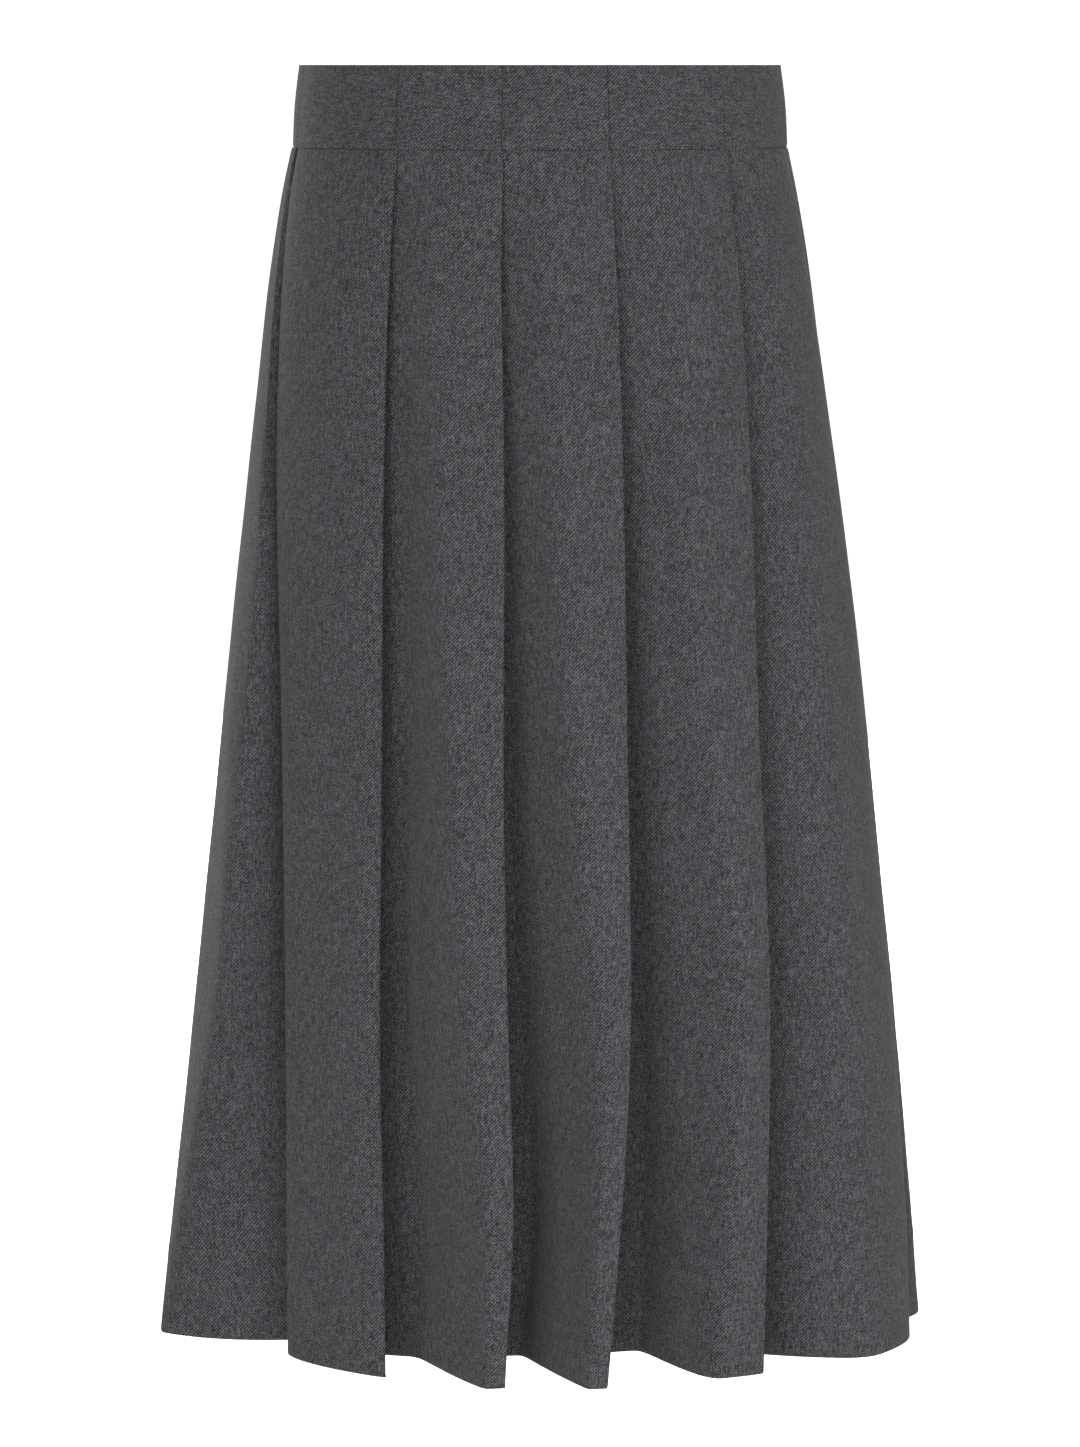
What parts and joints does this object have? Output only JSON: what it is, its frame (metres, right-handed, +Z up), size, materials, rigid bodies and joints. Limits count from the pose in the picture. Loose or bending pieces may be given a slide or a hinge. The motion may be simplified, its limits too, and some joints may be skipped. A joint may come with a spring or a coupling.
{
  "type": "pleated midi skirt",
  "caption": "Hollow A-line midi skirt in woven wool with a plain waistband, wide pressed pleats that fall open to the hem, and a concealed back zip.",
  "frame": {"origin": "centre of the waistband's top edge, where the wearer's waist holds the skirt", "axes": "+Z up, -Y to the front, +X to the wearer's left"},
  "size_m": [0.4547, 0.2883, 0.7467],
  "materials": {
    "charcoal_wool": "matt worsted wool twill, charcoal grey with a fine mixed yarn",
    "zip_tape": "matt woven tape, near black",
    "zip_metal": "dark grey enamel, half gloss"
  },
  "bodies": {
    "garment": {"waistband": "charcoal_wool", "skirt_front": "charcoal_wool", "skirt_back_left": "charcoal_wool", "skirt_back_right": "charcoal_wool", "zip_tape": "zip_tape", "zip_slider": "zip_metal"},
    "pull_tab": {"pull_tab": "zip_metal"}
  },
  "joints": [
    {"name": "tab_swing", "type": "hinge", "parent": "garment", "child": "pull_tab", "pos_m": [0, 0.1036, -0.0066], "axis": [1, 0, 0], "range_deg": [0, 160]}
  ]
}
